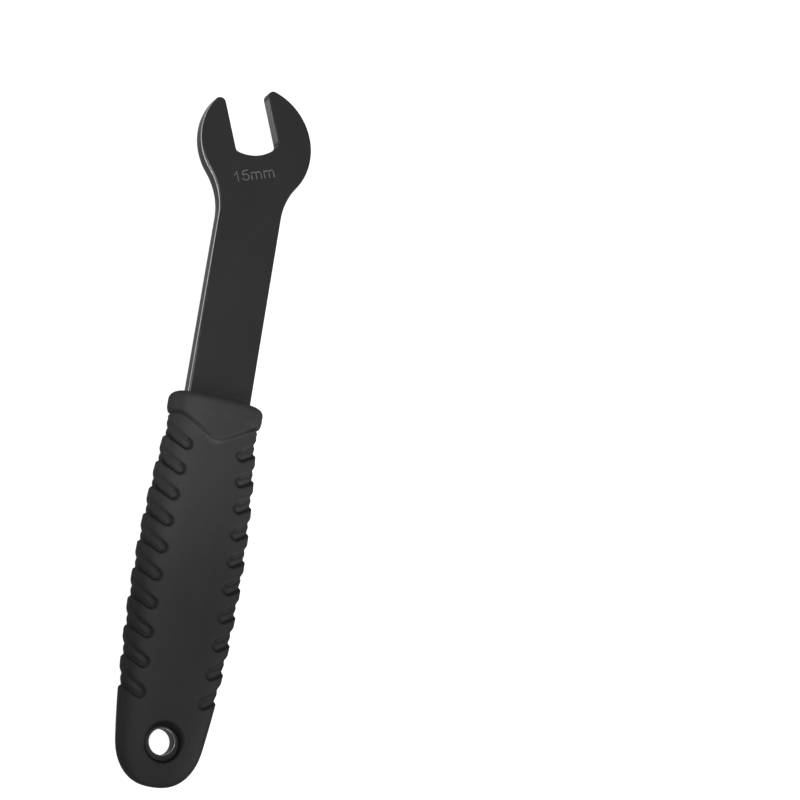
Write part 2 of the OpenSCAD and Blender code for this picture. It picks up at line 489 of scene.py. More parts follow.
@dataclass(frozen=True)
class MouldedRubber:
    """Matte dark grey rubber with a fine moulded grain; painted light makes it paler towards the collar, painted shade
    darkens the channels, lip groove and opening, and a painted highlight lightens the lip bead.
    """

    dark: tuple[float, ...] = (0.0052, 0.0052, 0.0053)
    light: tuple[float, ...] = (0.0258, 0.0258, 0.0259)
    # colour of the painted shade in the channels, the lip groove and round the opening
    hollow: tuple[float, ...] = (0.002, 0.002, 0.002)
    # colour of the painted highlight along the collar's lip bead
    painted_highlight: tuple[float, ...] = (0.04, 0.04, 0.0401)
    roughness: float = 0.6

    def material(self, effects: Effects) -> bpy.types.Material:
        """Makes the finish."""
        dress = Dresser("moulded_rubber", effects)
        tree = dress.tree
        tone = dress.place(effects.mottle, Broad=70.0, Fine=1100.0, Share=0.6, Strength=1.0).outputs["Tone"]
        # painted light: the base grows paler along the handle towards the collar
        painted_light_gradient = math_node(tree, "MULTIPLY_ADD", dress.along(0.035, 0.095), 0.8, 0.1)
        level = math_node(tree, "MULTIPLY_ADD", tone, 0.32, painted_light_gradient)
        base = dress.tint(level, self.dark, self.light)
        # painted highlight: where the mask is negative, along the collar's lip bead, the base turns paler
        lip_highlight = dress.place(effects.wear, Scale=300.0, Breaks=0.4, Amount=1.0)
        tree.links.new(math_node(tree, "MULTIPLY", dress.mask, -1.0), lip_highlight.inputs["Mask"])
        base = dress.tint(lip_highlight.outputs["Masked"], self.dark, self.painted_highlight, base)
        # painted shade: the base darkens where the mask is positive, on the channel walls, in the lip groove and round
        # the opening
        hollow = dress.place(effects.wear, Scale=500.0, Breaks=0.15, Amount=1.0)
        tree.links.new(dress.mask, hollow.inputs["Mask"])
        tree.links.new(dress.tint(hollow.outputs["Masked"], self.dark, self.hollow, base),
                       dress.shader.inputs["Base Color"])
        dress.rough(tone, self.roughness, 0.16)
        dress.shader.inputs["Specular IOR Level"].default_value = 0.2
        dress.bump(dress.place(effects.grain, Scale=1800.0, Pits=0.5).outputs["Height"], 0.3, 0.00008)
        return dress.material


@dataclass(frozen=True)
class EtchedMark:
    """Pale dull grey where the coating was etched away for the size mark."""

    dark: tuple[float, ...] = (0.055, 0.055, 0.055)
    light: tuple[float, ...] = (0.11, 0.11, 0.11)
    roughness: float = 0.6

    def material(self, effects: Effects) -> bpy.types.Material:
        """Makes the finish."""
        dress = Dresser("etched_mark", effects)
        tone = dress.place(effects.mottle, Broad=700.0, Fine=2600.0, Share=0.6, Strength=1.3).outputs["Tone"]
        level = math_node(dress.tree, "ADD", tone, 0.5)
        dress.tree.links.new(dress.tint(level, self.dark, self.light), dress.shader.inputs["Base Color"])
        dress.rough(tone, self.roughness, 0.1)
        dress.bump(dress.place(effects.grain, Scale=4000.0, Pits=0.5).outputs["Height"], 0.3, 0.00004)
        return dress.material


# -------------------------------------------------------------- steel plate


@dataclass
class Loop:
    """A closed border of the plate: points, outward directions, edge radii, and wear that partly stands for a painted
    highlight.
    """

    points: np.ndarray
    out: np.ndarray
    edge: np.ndarray
    wear: np.ndarray
    flat_wear_sheen: np.ndarray


@dataclass
class SteelPlate:
    """Flat forged plate: head with an angled jaw, shank, tang and hang hole."""

    thickness: float = 4.9
    shank_width: float = 20.9
    head_x: float = 193.1
    head_y: float = 1.9
    hang_diameter: float = 7.9
    jaw_width: float = 15.0
    jaw_angle: float = 22.3
    lobe_radius: float = 19.9
    lobe_shift: float = 1.0
    tip_radius: float = 1.9
    floor_back: float = 4.0
    floor_radius: float = 12.5
    corner_radius: float = 1.5
    neck_radius: float = 21.0
    outer_edge: float = 0.7
    jaw_edge: float = 0.3
    hole_edge: float = 0.25
    rim: float = 0.35
    edge_steps: int = 10
    # bands and amounts of edge wear, which partly stand for a painted highlight
    outer_worn_highlight: tuple[float, float] = (5.0, 45.0)
    hole_worn: tuple[float, float] = (35.0, 90.0)
    hole_wear: float = 0.35
    jaw_wear_sheen: float = 0.3

    def from_jaw(self, u: np.ndarray | float, v: np.ndarray | float) -> np.ndarray:
        """A point given along and across the jaw, in the plane of the part."""
        turn = math.radians(self.jaw_angle)
        x = self.head_x + u * math.cos(turn) - v * math.sin(turn)
        y = self.head_y + u * math.sin(turn) + v * math.cos(turn)
        return np.stack([np.asarray(x, float), np.asarray(y, float)], -1)

    def lobe_centre(self, side: Side) -> np.ndarray:
        """Centre of the arc that bounds the head on one side."""
        return self.from_jaw(0.0, -side.value * self.lobe_shift)

    def tip_centre(self, side: Side) -> np.ndarray:
        """Centre of the round jaw tip: inside the lobe and beside the jaw wall."""
        across = self.jaw_width / 2 + self.tip_radius
        along = math.sqrt((self.lobe_radius - self.tip_radius) ** 2 - (across + self.lobe_shift) ** 2)
        return self.from_jaw(along, side.value * across)

    def neck_centre(self, side: Side) -> np.ndarray:
        """Centre of the neck arc, which touches the shank and the lobe."""
        lobe = self.lobe_centre(side)
        y = side.value * (self.shank_width / 2 + self.neck_radius)
        x = lobe[0] - math.sqrt((self.lobe_radius + self.neck_radius) ** 2 - (y - lobe[1]) ** 2)
        return np.array([x, y])

    def half_border(self, side: Side) -> Loop:
        """One side of the border, from the handle end to the jaw floor.

        The border is a chain of arcs and lines that touch: end, shank, neck,
        lobe, tip, jaw wall, floor corner and floor.
        """
        s = side.value
        half = self.shank_width / 2
        neck, lobe, tip = self.neck_centre(side), self.lobe_centre(side), self.tip_centre(side)
        floor_u = self.floor_radius - self.floor_back
        corner_v = self.jaw_width / 2 - self.corner_radius
        corner_u = floor_u - math.sqrt((self.floor_radius - self.corner_radius) ** 2 - corner_v ** 2)
        lean = math.degrees(math.atan2(corner_v, floor_u - corner_u))
        chain = [arc(np.zeros(2), half, 180.0 - s * 2.0, 180.0 - s * 90.0, 40)]
        along = np.linspace(4.0, neck[0] - 4.0, 40)
        chain.append((np.stack([along, np.full(40, s * half)], -1), np.tile([0.0, float(s)], (40, 1))))
        chain.append(arc(neck, self.neck_radius, -s * 90.0, bearing(neck, lobe), 34, hollow=True))
        chain.append(arc(lobe, self.lobe_radius, bearing(lobe, neck), bearing(lobe, tip), 80))
        chain.append(arc(tip, self.tip_radius, bearing(lobe, tip), self.jaw_angle - s * 90.0, 26))
        wall_u = np.linspace((tip - self.from_jaw(0, 0)) @ self.along() - 1.0, corner_u + 1.0, 16)
        wall_out = -s * self.across()
        chain.append((self.from_jaw(wall_u, np.full(16, s * self.jaw_width / 2)), np.tile(wall_out, (16, 1))))
        chain.append(arc(self.from_jaw(corner_u, s * corner_v), self.corner_radius, self.jaw_angle + s * 90.0,
                         self.jaw_angle + s * (180.0 - lean), 14, hollow=True))
        chain.append(arc(self.from_jaw(floor_u, 0.0), self.floor_radius, self.jaw_angle + s * (180.0 - lean),
                         self.jaw_angle + s * 179.0, 22, hollow=True))
        sizes = [40, 40, 34, 80, 26, 16, 14, 22]
        edge = np.concatenate([np.full(n, self.outer_edge) for n in sizes[:4]]
                              + [self.outer_edge + (self.jaw_edge - self.outer_edge) * soft_step(np.linspace(0, 1, 26))]
                              + [np.full(n, self.jaw_edge) for n in sizes[5:]])
        points = np.concatenate([part[0] for part in chain])
        out = np.concatenate([part[1] for part in chain])
        apart = np.linalg.norm(np.diff(points, axis=0), axis=1) > 1e-4
        keep = np.concatenate([[True], apart])
        wear = (edge - self.jaw_edge) / (self.outer_edge - self.jaw_edge)
        flat_wear_sheen = np.concatenate([np.full(n, self.jaw_wear_sheen if place == 5 else 0.0) for place, n in enumerate(sizes)])
        return Loop(points[keep], out[keep], edge[keep], wear[keep], flat_wear_sheen[keep])

    def along(self) -> np.ndarray:
        """Direction out of the jaw."""
        turn = math.radians(self.jaw_angle)
        return np.array([math.cos(turn), math.sin(turn)])

    def across(self) -> np.ndarray:
        """Direction across the jaw, to its left."""
        turn = math.radians(self.jaw_angle)
        return np.array([-math.sin(turn), math.cos(turn)])

    def border(self) -> Loop:
        """The whole outer border, anticlockwise seen from the front."""
        right, left = self.half_border(Side.RIGHT), self.half_border(Side.LEFT)
        return Loop(*(np.concatenate([getattr(right, part.name), getattr(left, part.name)[::-1]])
                      for part in fields(Loop)))

    def hole(self) -> Loop:
        """The border of the hang hole, clockwise seen from the front."""
        points, out = arc(np.zeros(2), self.hang_diameter / 2, 360.0, 360.0 / 97, 96, hollow=True)
        return Loop(points, out, np.full(96, self.hole_edge), np.full(96, self.hole_wear), np.zeros(96))

    def rings(self, loop: Loop) -> np.ndarray:
        """Rings that carry a border round its two rounded edges.

        Ring a of an edge lies inside the border by the edge radius times
        (1 - cos a), at a height of half the thickness less the radius times
        (1 - sin a), and a last ring lies flat on the face.
        """
        turn = np.radians(np.linspace(0.0, 90.0, self.edge_steps))[:, None]
        inset = np.concatenate([loop.edge * (1 - np.cos(turn)), [loop.edge + self.rim]])
        level = np.concatenate([self.thickness / 2 - loop.edge * (1 - np.sin(turn)),
                                [np.full(len(loop.edge), self.thickness / 2)]])
        flat = loop.points[None] - inset[..., None] * loop.out[None]
        upper = np.concatenate([flat, level[..., None]], -1)
        return np.concatenate([upper[::-1] * [1, 1, -1], upper])

    def edge_mask(self, loop: Loop, worn: tuple[float, float]) -> np.ndarray:
        """The wear of the rings, partly a painted highlight.

        It is half a sine wave over the worn band of a rounded edge, times the
        border's wear, plus the border's own wear on the upright wall.

        Args:
            loop: the border that the rings carry.
            worn: first and last angle of the worn and highlighted band, in degrees from the wall.

        Returns:
            A value per ring and point of the border.
        """
        turn = np.radians(np.linspace(0.0, 90.0, self.edge_steps))[:, None]
        low, high = np.radians(worn)
        upper = np.sin(math.pi * np.clip((turn - low) / (high - low), 0.0, 1.0)) * loop.wear
        upper[0] = loop.flat_wear_sheen
        upper = np.concatenate([upper, np.zeros((1, len(loop.wear)))])
        return np.concatenate([upper[::-1], upper])

    def build(self) -> bpy.types.Object:
        """Builds the plate as one closed mesh."""
        shell = Shell()
        borders = [self.border(), self.hole()]
        loops = [self.rings(border) for border in borders]
        for rings, border, worn in zip(loops, borders, (self.outer_worn_highlight, self.hole_worn)):
            shell.add(rings, [grid_faces(*rings.shape[:2])[:, ::-1]], self.edge_mask(border, worn).reshape(-1))
        for face in Face:
            flat = [rings[-1 if face is Face.FRONT else 0] for rings in loops]
            points = np.concatenate(flat)
            corners = tessellate_polygon([[Vector(p) for p in ring] for ring in flat])
            faces = np.array(corners)
            a, b, c = (points[faces[:, i]] for i in range(3))
            up = np.cross(b - a, c - a)[:, 2].sum() * face.value > 0
            shell.add(points, [faces if up else faces[:, ::-1]])
        return shell.build("steel_plate", 50.0)


# ---------------------------------------------------------------- size mark


class Glyph(Enum):
    """Strokes of the size mark, on a grid of stroke heights, left to right.

    Each stroke is a list of points (across, up) in cap heights.
    """

    ONE = (((-0.33, 0.66), (-0.15, 0.76), (0.0, 1.0), (0.0, 0.0)),)
    FIVE = (((0.62, 1.0), (0.13, 1.0), (0.06, 0.56), (0.2, 0.63), (0.38, 0.65), (0.56, 0.58), (0.66, 0.45),
             (0.68, 0.3), (0.62, 0.14), (0.47, 0.02), (0.3, 0.0), (0.12, 0.06), (0.02, 0.22)),)
    EM = (((0.0, 0.72), (0.0, 0.0)),
          ((0.0, 0.52), (0.1, 0.66), (0.27, 0.73), (0.42, 0.68), (0.5, 0.54), (0.5, 0.0)),
          ((0.5, 0.52), (0.6, 0.66), (0.77, 0.73), (0.92, 0.68), (1.0, 0.54), (1.0, 0.0)))


@dataclass
class SizeMark:
    """The jaw size, etched across the head just behind the jaw."""

    plate: SteelPlate
    cap: float = 3.15
    stroke: float = 0.36
    proud: float = 0.02
    base_u: float = -11.6
    start_v: float = 9.0
    layout: tuple[tuple[Glyph, float, float], ...] = (
        (Glyph.ONE, 0.0, 1.0), (Glyph.FIVE, 1.6, 1.05), (Glyph.EM, 4.75, 1.04), (Glyph.EM, 9.2, 1.04))

    def ribbon(self, line: np.ndarray) -> tuple[np.ndarray, list[np.ndarray]]:
        """A thin raised ribbon along a line in the plane.

        Point i of the line gets two edge points, half a stroke to each side
        along the mitre of its neighbours, at the face and just proud of it.

        Args:
            line: points along and across the jaw, two columns.

        Returns:
            Points and faces of the closed ribbon.
        """
        step = np.diff(line, axis=0)
        step /= np.linalg.norm(step, axis=1, keepdims=True)
        before = np.concatenate([step[:1], step])
        after = np.concatenate([step, step[-1:]])
        mean = before + after
        mean /= np.linalg.norm(mean, axis=1, keepdims=True)
        stretch = 1.0 / np.clip((mean * before).sum(1), 0.6, 1.0)
        side = np.stack([-mean[:, 1], mean[:, 0]], -1) * (stretch * self.stroke / 2)[:, None]
        ends_out = np.zeros_like(line)
        ends_out[0], ends_out[-1] = -step[0] * self.stroke * 0.35, step[-1] * self.stroke * 0.35
        centre = line + ends_out
        low = self.plate.thickness / 2 - self.proud
        high = self.plate.thickness / 2 + self.proud
        ring = []
        for offset, level in ((side, low), (-side, low), (-side, high), (side, high)):
            flat = self.plate.from_jaw(centre[:, 0] + offset[:, 0], centre[:, 1] + offset[:, 1])
            ring.append(np.concatenate([flat, np.full((len(flat), 1), level)], -1))
        points = np.stack(ring, 1)
        count = len(line)
        caps = np.array([[0, 1, 2, 3], [4 * count - 1, 4 * count - 2, 4 * count - 3, 4 * count - 4]])
        return points.reshape(-1, 3), [grid_faces(count, 4), caps]

    def build(self) -> bpy.types.Object:
        """Builds every stroke of the mark as one mesh."""
        shell = Shell()
        for glyph, start, wide in self.layout:
            for stroke in glyph.value:
                grid = np.array(stroke) * self.cap * [wide, 1.0]
                fine = self.smooth(grid)
                line = np.stack([self.base_u + fine[:, 1], self.start_v - start - fine[:, 0]], -1)
                points, faces = self.ribbon(line)
                shell.add(points, faces)
        made = shell.build("size_mark", 30.0)
        return made

    @staticmethod
    def smooth(line: np.ndarray) -> np.ndarray:
        """Cuts the corners of a long line once: each inner corner becomes two points."""
        if len(line) < 5:
            return line
        inner = np.stack([0.75 * line[:-1] + 0.25 * line[1:], 0.25 * line[:-1] + 0.75 * line[1:]], 1)
        return np.concatenate([line[:1], inner.reshape(-1, 2)[1:-1], line[-1:]])


# --------------------------------------------------------------------- grip


@dataclass
class RubberGrip:
    """Moulded grip: barrel body, pointed collar, finger channels, hole rim."""

    plate: SteelPlate
    half_width: float = 17.3
    wide_x: float = 51.5
    plan_radius: float = 376.0
    half_thickness: float = 7.55
    thick_x: float = 60.0
    side_radius: float = 682.0
    end_length: float = 13.6
    end_start: float = 3.0
    power: float = 2.7
    end_power_w: float = 2.5
    end_power_t: float = 5.0
    mouth_x: float = 107.3
    collar_half_w: float = 15.3
    collar_half_t: float = 7.2
    collar_round: float = 2.3
    collar_length: float = 6.7
    collar_point: float = 6.2
    point_half_w: float = 12.0
    point_blunt: float = 1.3
    collar_lip: float = 2.4
    lip_drop: float = 0.7
    lip_width: float = 0.7
    lip_groove: float = 0.15
    groove_width: float = 0.45
    groove_below: float = 0.5
    bead_rise: float = 0.22
    bead_width: float = 0.6
    bead_below: float = 1.2
    bead_point: float = 2.4
    # strength of the painted highlight on the lip bead
    bead_highlight: float = 0.8
    bead_blob: float = 0.8
    channel_count: int = 10
    channel_pitch: float = 8.67
    channel_x: float = 18.2
    channel_width: float = 3.4
    channel_out: float = 2.7
    channel_depth: float = 0.8
    channel_reach: float = 5.5
    channel_past: float = 3.0
    channel_wall: float = 0.45
    channel_scoop: float = 2.6
    channel_shade: float = 0.85
    channel_lean: float = 2.5
    channel_ease: float = 2.5
    channel_fade: float = 0.85
    channel_crown: float = 0.4
    face_slope: float = 0.57
    side_slope: float = 1.05
    shoulder_in: float = 2.2
    open_shift: float = -0.5
    open_radius: float = 5.2
    rim_radius: float = 6.0
    rim_flare: float = 0.8
    rim_rise: float = 0.65
    open_wall: float = 0.6
    face_cells: int = 34
    side_cells: int = 80
    face_share: float = 0.62
    window_x: float = 8.5
    patch_rings: int = 16
    body_rows: int = 216
    lip_rows: int = 70
    lip_margin: float = 2.0

    # sections ------------------------------------------------------------

    def end_fall(self, x: np.ndarray, power: float) -> np.ndarray:
        """Factor that rounds the end: a superellipse quarter behind the hole."""
        u = np.clip(-x / self.end_length, 0.0, 1.0)
        return (1.0 - u ** power) ** (1.0 / power)

    def half_w(self, x: np.ndarray) -> np.ndarray:
        """Half width of the body: a wide parabola times the end factor."""
        return (self.half_width - (x - self.wide_x) ** 2 / (2 * self.plan_radius)) * self.end_fall(x, self.end_power_w)

    def half_t(self, x: np.ndarray) -> np.ndarray:
        """Half thickness of the body: a wide parabola times the end factor."""
        return ((self.half_thickness - (x - self.thick_x) ** 2 / (2 * self.side_radius))
                * self.end_fall(x, self.end_power_t))

    def mouth_fall(self, x: np.ndarray) -> np.ndarray:
        """How far the rounded collar edge falls in near the mouth: a quarter circle."""
        u = np.clip(x - self.mouth_x + self.collar_round, 0.0, self.collar_round)
        return self.collar_round - np.sqrt(self.collar_round ** 2 - u * u)

    def lip_fall(self, x: np.ndarray) -> np.ndarray:
        """How far the collar falls in behind its widest place, as a parabola."""
        u = np.clip(self.mouth_x - self.collar_length + self.collar_lip - x, 0.0, None)
        return np.minimum(self.lip_drop, self.lip_drop * (u / self.collar_lip) ** 2)

    def past_border(self, x: np.ndarray, y: np.ndarray) -> np.ndarray:
        """How far x lies past the collar's lower border.

        The border is straight at the sides and dips to a blunt point on the
        faces, in proportion to the distance from the end of the straight part.
        """
        low = self.mouth_x - self.collar_length
        share = np.clip((self.point_half_w - np.abs(y)) / (self.point_half_w - self.point_blunt), 0.0, 1.0)
        return x - low + self.collar_point * share

    def unit_section(self) -> np.ndarray:
        """Points round a section of half width and half height 1.

        The faces get even steps in y out to their share of the width, and
        the shoulders and sides get even steps in arc length.
        """
        n = self.power
        face_y = np.linspace(-self.face_share, self.face_share, self.face_cells + 1)
        face_z = (1 - np.abs(face_y) ** n) ** (1 / n)
        turn = np.linspace(0.0, math.pi, 20001)
        dense_y = np.sign(np.sin(turn)) * np.abs(np.sin(turn)) ** (2 / n)
        dense_z = -np.sign(np.cos(turn)) * np.abs(np.cos(turn)) ** (2 / n)
        start = np.argmax(dense_y >= self.face_share)
        inside = slice(start, len(turn) - start)
        dense = np.stack([dense_y[inside], dense_z[inside]], -1)
        length = np.concatenate([[0.0], np.cumsum(np.linalg.norm(np.diff(dense * [17.0, 7.5], axis=0), axis=1))])
        even = np.linspace(0.0, length[-1], self.side_cells + 1)
        side_y = np.interp(even, length, dense[:, 0])
        side_z = np.interp(even, length, dense[:, 1])
        side_y[[0, -1]], side_z[[0, -1]] = self.face_share, [-face_z[-1], face_z[-1]]
        right_up = np.stack([side_y, side_z], -1)
        top = np.stack([face_y[::-1], face_z], -1)
        left_down = np.stack([-side_y[::-1], side_z[::-1]], -1)
        bottom = np.stack([face_y, -face_z], -1)
        return np.concatenate([right_up[:-1], top[:-1], left_down[:-1], bottom[:-1]])

    def stations(self) -> np.ndarray:
        """Places of the rows along the grip, close together where detail is."""
        turn = np.radians(np.linspace(self.end_start, math.degrees(math.acos(self.window_x / self.end_length)), 27))
        end = -self.end_length * np.cos(turn)
        window = np.linspace(-self.window_x, self.window_x, self.face_cells + 1)
        point = self.mouth_x - self.collar_length - self.collar_point - self.lip_margin
        body = np.linspace(self.window_x, point, self.body_rows)
        lip = np.linspace(point, self.mouth_x - self.collar_round, self.lip_rows)
        turn = np.radians(np.linspace(0.0, 90.0, 14))
        mouth = self.mouth_x - self.collar_round + self.collar_round * np.sin(turn)
        return np.concatenate([end[:-1], window, body[1:], lip[1:], mouth[1:]])

    def channel_depths(self, x: np.ndarray, y: np.ndarray) -> tuple[np.ndarray, np.ndarray]:
        """How deep the channels lie at points of the plan.

        Each channel runs along a line with one bend, from its round inner end
        over the shoulder to the side. The depth rises smoothly as the distance
        to the line falls below the half width, and eases again towards the
        line, so that the floor is crowned. The wall on the side of the collar
        is the gentler one.

        Args:
            x: places along the handle.
            y: places across it.

        Returns:
            The depth, and the painted shade along the walls, which fades on the wall on the side of the collar, both 0
            to 1.
        """
        side = np.abs(y)
        near = np.full(x.shape, self.channel_pitch)
        lean = np.zeros(x.shape)
        for k in range(self.channel_count):
            place = self.channel_x + self.channel_pitch * k
            w = float(self.half_w(np.array(place)))
            mouth = place - self.face_slope * (self.half_width - w)
            knee = np.array([mouth - self.side_slope * self.shoulder_in, w - self.shoulder_in])
            inner = np.array([knee[0] - self.face_slope * (self.channel_reach - self.shoulder_in),
                              w - self.channel_reach])
            outer = np.array([mouth + self.side_slope * self.channel_past, w + self.channel_past])
            for start, end, wide, narrow, rise in ((inner, knee, self.channel_width, self.channel_width, 0.0),
                                                   (knee, outer, self.channel_width, self.channel_out, 1.0)):
                line = end - start
                dx, dy = x - start[0], side - start[1]
                t = np.clip((dx * line[0] + dy * line[1]) / (line @ line), 0.0, 1.0)
                half = (wide + (narrow - wide) * t) / 2
                gap = np.hypot(dx - t * line[0], dy - t * line[1]) - half
                across = (dx * line[1] - dy * line[0]) / np.linalg.norm(line) / half
                tilt = np.clip(across * self.channel_lean, 0.0, 1.0) * soft_step(rise + t * self.channel_ease)
                lean = np.where(gap < near, tilt, lean)
                near = np.minimum(near, gap)
        slope = self.channel_wall * (1.0 + self.channel_scoop * lean)
        crown = 1.0 - self.channel_crown * soft_step(-near / (self.channel_width / 2) * 1.3 - 0.3)
        depth = soft_step(0.5 - near / slope) * crown
        # painted shade along the channel walls, faded on the gentler wall on the side of the collar
        dark = np.exp(-((near / self.channel_shade + 0.3) ** 2) * 2.0)
        return depth, dark * (1.0 - self.channel_fade * lean)

    def skin_height(self, x: np.ndarray, y: np.ndarray) -> np.ndarray:
        """Height of the body's front face over the plan near the hang hole."""
        share = np.clip(np.abs(y) / self.half_w(x), 0.0, 1.0)
        return self.half_t(x) * (1.0 - share ** self.power) ** (1.0 / self.power)

    def rim_height(self, x: np.ndarray, y: np.ndarray) -> np.ndarray:
        """Height of the face with the rounded rim of the opening let in.

        The rim falls below the skin by a smooth curve from the flare's outer
        radius to the opening, where the straight wall starts.
        """
        r = np.hypot(x - self.open_shift, y)
        skin = self.skin_height(x, y)
        wall = self.plate.thickness / 2 + self.open_wall
        outer = self.rim_radius + self.rim_flare
        slope = np.clip((r - self.open_radius) / (self.rim_radius - self.open_radius), 0.0, 1.0)
        ledge = wall + (self.half_t(np.zeros(1)) - self.rim_rise - wall) * slope ** 0.8
        mix = soft_step((r - self.rim_radius) / (outer - self.rim_radius))
        return np.where(r < self.rim_radius, ledge, ledge + (skin - ledge) * mix)

    # meshes ----------------------------------------------------------------

    def window(self, shell: Shell, points: np.ndarray, mask: np.ndarray, rows: slice, height: str,
               radius: float, flip: bool) -> dict[Face, np.ndarray]:
        """Adds a tube of section rows with a round window in each face.

        The quads of each face inside the window rows are left out, and rings
        that turn from the square border to a circle fill the gap.

        Args:
            shell: gets the points and faces.
            points: rows by columns by 3 points of the tube.
            mask: a value per row and column.
            rows: first and last row of the window.
            height: "rim" for the outer skin or "flat" for the pocket.
            radius: radius of the window.
            flip: whether the faces look inwards.

        Returns:
            The circle of points for each face.
        """
        count, columns = points.shape[:2]
        quads = grid_faces(count, columns).reshape(count - 1, columns, 4)
        keep = np.ones((count - 1, columns), bool)
        circles = {}
        for face in Face:
            first = self.side_cells if face is Face.FRONT else 2 * self.side_cells + self.face_cells
            place = (first + np.arange(self.face_cells + 1)) % columns
            keep[rows.start:rows.stop, first:first + self.face_cells] = False
            near, far = rows.start, rows.stop
            border = np.concatenate([
                points[near, place[:-1]], points[near:far, place[-1]], points[far, place[:0:-1]],
                points[far:near:-1, place[0]]])
            around = len(border)
            turn = np.unwrap(np.arctan2(border[:, 1], border[:, 0]))
            start = math.copysign(0.75 * math.pi, turn[0])
            even = start + math.copysign(2 * math.pi, turn[-1] - turn[0]) * np.arange(around) / around
            circle = radius * np.stack([np.cos(even), np.sin(even)], -1) + [self.open_shift, 0.0]
            share = np.linspace(0.0, 1.0, self.patch_rings) ** 1.6
            plan = circle[None] + (border[None, :, :2] - circle[None]) * share[:, None, None]
            if height == "rim":
                level = self.rim_height(plan[..., 0], plan[..., 1]) * face.value
                reach = np.hypot(plan[..., 0] - self.open_shift, plan[..., 1])
                # painted shade on the rounded rim of the opening
                shade = soft_step((self.rim_radius + self.rim_flare - reach) / self.rim_flare)
            else:
                level = np.full(plan.shape[:2], self.plate.thickness / 2 * face.value)
                shade = np.ones(level.shape)
            level[-1] = border[:, 2]
            rings = np.concatenate([plan, level[..., None]], -1)
            quads_in = grid_faces(self.patch_rings, around)
            shell.add(rings, [self.facing(rings, quads_in, face, flip)], shade.reshape(-1))
            circles[face] = rings[0]
        body = quads[keep]
        shell.add(points, [body[:, ::-1] if flip else body], mask.reshape(-1))
        return circles

    @staticmethod
    def facing(points: np.ndarray, quads: np.ndarray, face: Face, flip: bool) -> np.ndarray:
        """Turns quads so that they look out of a face where flip is set, and into the part otherwise."""
        flat = points.reshape(-1, 3)
        a, b, c = (flat[quads[:, i]] for i in (0, 1, 2))
        up = np.cross(b - a, c - a)[:, 2].sum() * face.value > 0
        return quads if up == flip else quads[:, ::-1]

    def outer_skin(self) -> tuple[np.ndarray, np.ndarray]:
        """Points and painted shade mask of the grip's outside: painted shade on the channel walls and in the lip
        groove, negative where a painted highlight lightens the lip bead.

        A point is its station, with the unit section scaled by the half sizes
        of body and collar mixed by the collar mask, then pushed in along the
        surface normal by the channel depth.
        """
        x = self.stations()
        unit = self.unit_section()
        gx = np.repeat(x[:, None], len(unit), 1)
        body_w, body_t = self.half_w(gx), self.half_t(gx)
        collar_w = self.collar_half_w - self.mouth_fall(gx) - self.lip_fall(gx)
        collar_t = self.collar_half_t - 0.6 * self.mouth_fall(gx) - 0.15 * self.lip_fall(gx)
        past = self.past_border(gx, unit[None, :, 0] * body_w)
        mix = soft_step(past / self.lip_width + 0.5)
        groove = np.exp(-(((past + self.groove_below) / self.groove_width) ** 2) * 2.0)
        w = body_w + (np.maximum(collar_w, body_w * (gx < self.mouth_x - self.collar_round)) - body_w) * mix
        t = body_t + (np.maximum(collar_t, body_t * (gx < self.mouth_x - self.collar_round)) - body_t) * mix
        points = np.stack([gx, unit[None, :, 0] * w, unit[None, :, 1] * t], -1)
        depth, wall = self.channel_depths(gx, points[..., 1])
        depth, wall = depth * (1.0 - mix), wall * (1.0 - mix)
        du = np.gradient(points, axis=0)
        dv = (np.roll(points, -1, axis=1) - np.roll(points, 1, axis=1)) / 2
        normal = np.cross(du, dv)
        normal /= np.maximum(np.linalg.norm(normal, axis=-1, keepdims=True), 1e-9)
        outward = np.sign((normal * (points * [0, 1, 1])).sum(-1).mean())
        middle = np.exp(-((points[..., 1] / self.bead_point) ** 2))
        side_share = np.abs(points[..., 1]) / self.point_half_w
        bead = np.exp(-(((past + self.bead_below) / self.bead_width / (1.0 + self.bead_blob * middle)) ** 2) * 2.0)
        bead = bead * (1.0 + middle)
        groove = groove * (1.0 - middle)
        push = self.channel_depth * depth + self.lip_groove * groove - self.bead_rise * bead
        points = points - outward * normal * push[..., None]
        # painted shade in the lip groove, stronger beside the point
        beside = soft_step((np.abs(points[..., 1]) - self.point_half_w) / 2.0 + 1.0)
        # painted highlight along the lip bead, given as a negative mask
        pale = bead * np.clip(1.0 - side_share, 0.0, 1.0) * self.bead_highlight * (0.5 + 0.5 * middle)
        return points, np.maximum(wall, groove * (0.2 + 0.4 * beside)) - pale

